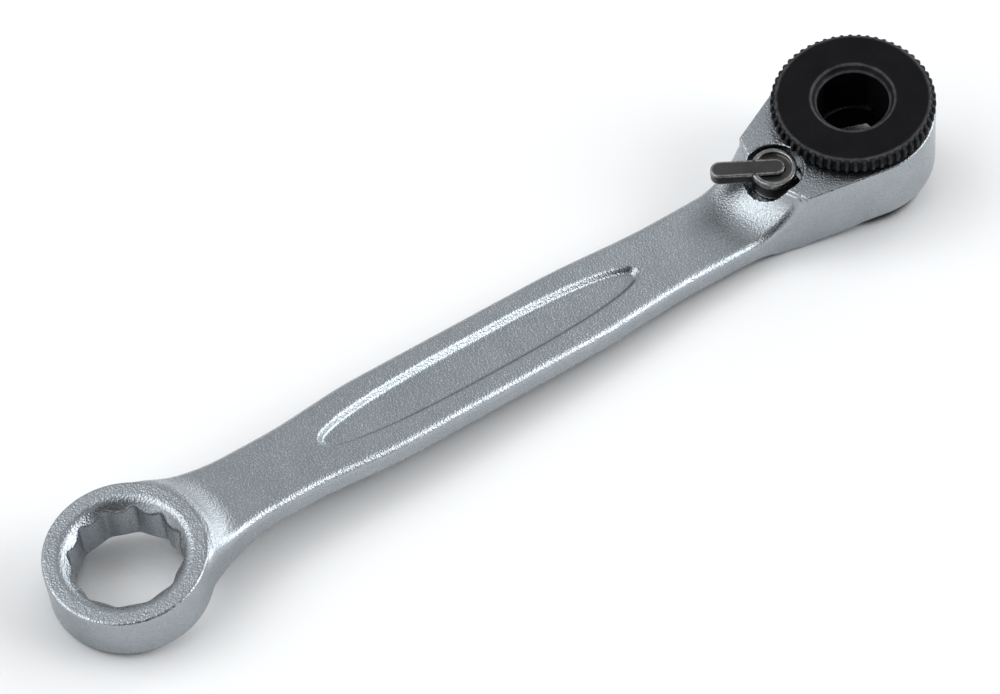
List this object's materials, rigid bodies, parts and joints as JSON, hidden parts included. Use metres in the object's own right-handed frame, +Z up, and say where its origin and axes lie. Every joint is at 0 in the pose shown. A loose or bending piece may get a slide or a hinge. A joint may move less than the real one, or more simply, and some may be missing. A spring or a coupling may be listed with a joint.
{
  "type": "bit ratchet",
  "caption": "Flat forged hand ratchet: box-end ring at one end, bent reversible head at the other with knurled thumb disc, reversing lever and hexagon bit socket.",
  "frame": {"origin": "middle of the tool's length and width, on the bench that it lies on", "axes": "+X along the tool from ring to head, +Z up from the bench; ring and head lean back out of the handle's plane"},
  "size_m": [0.092, 0.0142, 0.0113],
  "materials": {
    "satin_chrome": "blasted satin chrome",
    "black_disc": "matte black",
    "gunmetal": "dark plated, worn bright on its edges",
    "black_oxide": "blackened, dull",
    "bright_steel": "machined",
    "spring_steel": "drawn spring steel",
    "black_rubber": "matte"
  },
  "bodies": {
    "body": {"handle_body": "satin_chrome", "gear_washer": "bright_steel", "gear_circlip": "spring_steel", "pawl_pin": "bright_steel"},
    "drive": {"drive_gear": "black_oxide", "thumb_disc": "black_disc", "bit_clip": "spring_steel"},
    "lever": {"reversing_lever": "gunmetal", "lever_o_ring": "black_rubber", "plunger_spring": "spring_steel"},
    "plunger": {"pawl_plunger": "bright_steel"},
    "pawl": {"pawl": "bright_steel"}
  },
  "joints": [
    {"name": "gear_spin", "type": "hinge", "parent": "body", "child": "drive", "pos_m": [0.03921, 0, 0.00152], "axis": [-0.1857, 0, 0.9826], "continuous": true},
    {"name": "lever_turn", "type": "hinge", "parent": "body", "child": "lever", "pos_m": [0.03027, 0, -0.00017], "axis": [-0.1857, 0, 0.9826], "range_deg": [0, 77.8]},
    {"name": "pawl_rock", "type": "hinge", "parent": "body", "child": "pawl", "pos_m": [0.03299, 0, 0.00034], "axis": [-0.1857, 0, 0.9826], "range_deg": [-12, 0]},
    {"name": "plunger_push", "type": "slide", "parent": "lever", "child": "plunger", "axis": [0.7647, -0.628, 0.1445], "range_m": [-0.0002, 0], "stiffness_N_per_m": 400, "springref_m": 0.0005}
  ],
  "couplings": [
    {"joint": "pawl_rock", "follows": "lever_turn", "ratio": -0.1542}
  ]
}
